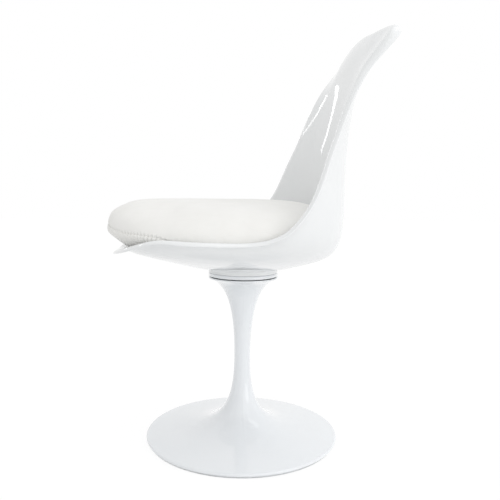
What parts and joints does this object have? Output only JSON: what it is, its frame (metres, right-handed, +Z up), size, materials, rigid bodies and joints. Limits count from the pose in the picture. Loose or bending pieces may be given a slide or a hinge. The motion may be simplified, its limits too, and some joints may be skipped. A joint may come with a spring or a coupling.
{
  "type": "swivel side chair",
  "caption": "Moulded shell side chair that turns on a trumpet-shaped pedestal with a round foot, with a padded seat cushion.",
  "frame": {"origin": "on the floor, on the swivel axis, in the middle of the foot", "axes": "+Z up along the swivel axis, the chair faces -Y, +X is the sitter's left"},
  "size_m": [0.494, 0.4981, 0.795],
  "materials": {
    "white_lacquer": "gloss lacquer on cast metal",
    "white_shell": "gloss lacquer on moulded glass fibre",
    "cushion_fabric": "plain woven upholstery",
    "foam": "open-cell foam",
    "pan_plastic": "moulded",
    "tape": "hook-and-loop tape",
    "clear_plastic": "moulded ring",
    "bush_plastic": "turned",
    "bearing_steel": "ground",
    "plain_steel": "zinc plated"
  },
  "bodies": {
    "base": {"pedestal": "white_lacquer", "glide_ring": "clear_plastic", "upper_bush": "bush_plastic", "lower_bush": "bush_plastic", "thrust_race_lower": "bearing_steel"},
    "cage": {"thrust_cage": "bush_plastic", "thrust_balls": "bearing_steel"},
    "seat": {"thrust_race_upper": "bearing_steel", "spindle": "plain_steel", "swivel_plate": "white_lacquer", "retaining_washer": "plain_steel", "spring_washer": "plain_steel", "retaining_bolt": "plain_steel", "seat_shell": "white_shell", "shell_washers": "plain_steel", "shell_bolts": "plain_steel", "hook_tapes": "tape", "loop_tapes": "tape", "cushion_pan": "pan_plastic", "cushion_foam": "foam", "cushion_cover": "cushion_fabric"}
  },
  "joints": [
    {"name": "seat_swivel", "type": "hinge", "parent": "base", "child": "seat", "pos_m": [0, 0, 0.33], "axis": [0, 0, 1], "continuous": true},
    {"name": "cage_spin", "type": "hinge", "parent": "base", "child": "cage", "pos_m": [0, 0, 0.3255], "axis": [0, 0, 1], "continuous": true}
  ],
  "couplings": [
    {"joint": "cage_spin", "follows": "seat_swivel", "ratio": 0.5}
  ]
}
